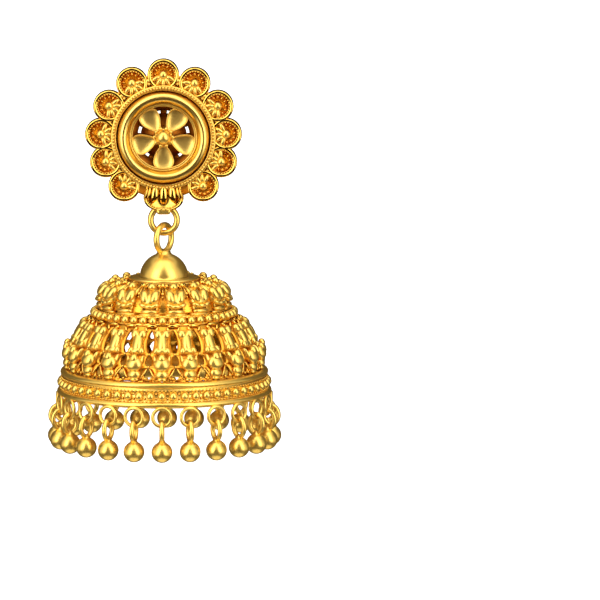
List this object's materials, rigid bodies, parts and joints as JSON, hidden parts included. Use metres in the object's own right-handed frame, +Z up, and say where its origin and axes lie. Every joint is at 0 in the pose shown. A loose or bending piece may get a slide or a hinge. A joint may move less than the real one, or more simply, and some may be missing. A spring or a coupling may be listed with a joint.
{
  "type": "jhumka earring",
  "caption": "Gold jhumka drop earring: flower rosette on an ear post, jump ring and a pierced domed bell with a beaded rim and a fringe of ball drops.",
  "frame": {"origin": "where the ear post leaves the rosette's flat back, on the rosette's centre", "axes": "+Z up as worn, the front of the rosette faces -Y, the post runs along +Y, +X to the viewer's right"},
  "size_m": [0.034, 0.034, 0.0565],
  "materials": {
    "polished_gold": "high polish yellow gold plating, deeper orange in the recesses",
    "satin_gold": "fine brushed satin yellow gold plating"
  },
  "bodies": {
    "rosette": {"rosette": "polished_gold", "domed_ring": "satin_gold", "flower": "satin_gold", "ear_post": "polished_gold"},
    "jump_ring": {"jump_ring": "polished_gold"},
    "bell": {"crown_cap": "polished_gold", "upper_tier": "polished_gold", "upper_bead_ring": "polished_gold", "lower_tier": "polished_gold", "rim_band": "polished_gold", "drop_01": "polished_gold", "drop_02": "polished_gold", "drop_03": "polished_gold", "drop_04": "polished_gold", "drop_05": "polished_gold", "drop_06": "polished_gold", "drop_07": "polished_gold", "drop_08": "polished_gold", "drop_09": "polished_gold", "drop_10": "polished_gold", "drop_11": "polished_gold", "drop_12": "polished_gold", "drop_13": "polished_gold", "drop_14": "polished_gold", "drop_15": "polished_gold", "drop_16": "polished_gold", "drop_17": "polished_gold", "drop_18": "polished_gold", "drop_19": "polished_gold", "drop_20": "polished_gold", "drop_21": "polished_gold", "drop_22": "polished_gold", "drop_23": "polished_gold", "drop_24": "polished_gold"}
  },
  "joints": [
    {"name": "ring_swing", "type": "hinge", "parent": "rosette", "child": "jump_ring", "pos_m": [0, -0.0012, -0.01025], "axis": [1, 0, 0], "range_deg": [-30, 30]},
    {"name": "bell_sway", "type": "hinge", "parent": "jump_ring", "child": "bell", "pos_m": [0, -0.0012, -0.01208], "axis": [0, 1, 0], "range_deg": [-30, 30]}
  ]
}
